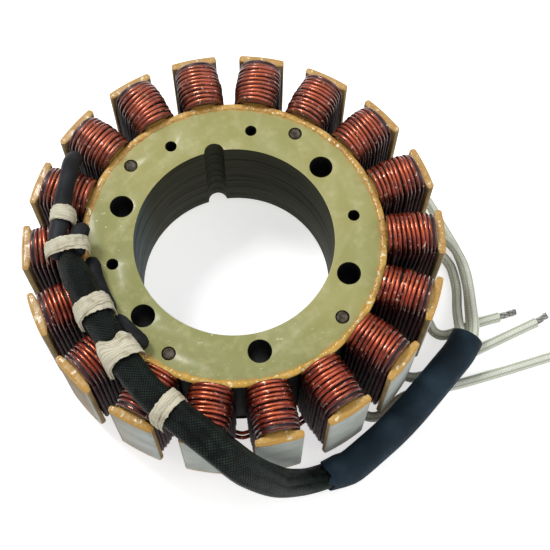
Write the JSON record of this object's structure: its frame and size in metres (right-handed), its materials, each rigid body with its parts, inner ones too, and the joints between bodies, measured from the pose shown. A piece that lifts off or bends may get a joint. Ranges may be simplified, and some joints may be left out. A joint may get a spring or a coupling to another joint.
{
  "type": "wound stator",
  "caption": "Outer-rotor motor stator: riveted, coated lamination stack with a copper coil on each T-shaped tooth and a laced lead harness.",
  "frame": {"origin": "on the bore axis at the height of the coils' lower ends, which the stator stands on", "axes": "+Z along the bore axis, up; +Y through the half-round notch; +X to the right of the notch"},
  "size_m": [0.163, 0.1355, 0.0555],
  "materials": {
    "epoxy_coat": "semi-gloss epoxy on steel laminations",
    "rivet_steel": "dull steel",
    "enamelled_copper": "varnished enamelled copper wire",
    "joint_sleeving": "matte",
    "woven_sleeving": "coarse weave",
    "shrink_tubing": "satin",
    "glass_braid": "fine braid",
    "tinned_strands": "tinned copper strands",
    "glass_tape": "woven tape"
  },
  "bodies": {
    "root": {"laminated_core": "epoxy_coat", "core_rivet_1": "rivet_steel", "core_rivet_2": "rivet_steel", "core_rivet_3": "rivet_steel", "core_rivet_4": "rivet_steel", "coil_01": "enamelled_copper", "coil_02": "enamelled_copper", "coil_03": "enamelled_copper", "coil_04": "enamelled_copper", "coil_05": "enamelled_copper", "coil_06": "enamelled_copper", "coil_07": "enamelled_copper", "coil_08": "enamelled_copper", "coil_09": "enamelled_copper", "coil_10": "enamelled_copper", "coil_11": "enamelled_copper", "coil_12": "enamelled_copper", "coil_13": "enamelled_copper", "coil_14": "enamelled_copper", "coil_15": "enamelled_copper", "coil_16": "enamelled_copper", "coil_17": "enamelled_copper", "coil_18": "enamelled_copper", "joint_sleeve_1": "joint_sleeving", "joint_sleeve_2": "joint_sleeving", "joint_sleeve_3": "joint_sleeving", "joint_sleeve_4": "joint_sleeving", "lacing_tape_1": "glass_tape", "lacing_tape_2": "glass_tape", "lacing_tape_3": "glass_tape", "lacing_tape_4": "glass_tape", "lacing_tape_5": "glass_tape", "harness_sleeve": "woven_sleeving", "heat_shrink_tube": "shrink_tubing", "lead_1": "glass_braid", "lead_2": "glass_braid", "lead_3": "glass_braid", "lead_strands_1": "tinned_strands", "lead_strands_2": "tinned_strands", "lead_strands_3": "tinned_strands"}
  },
  "joints": []
}
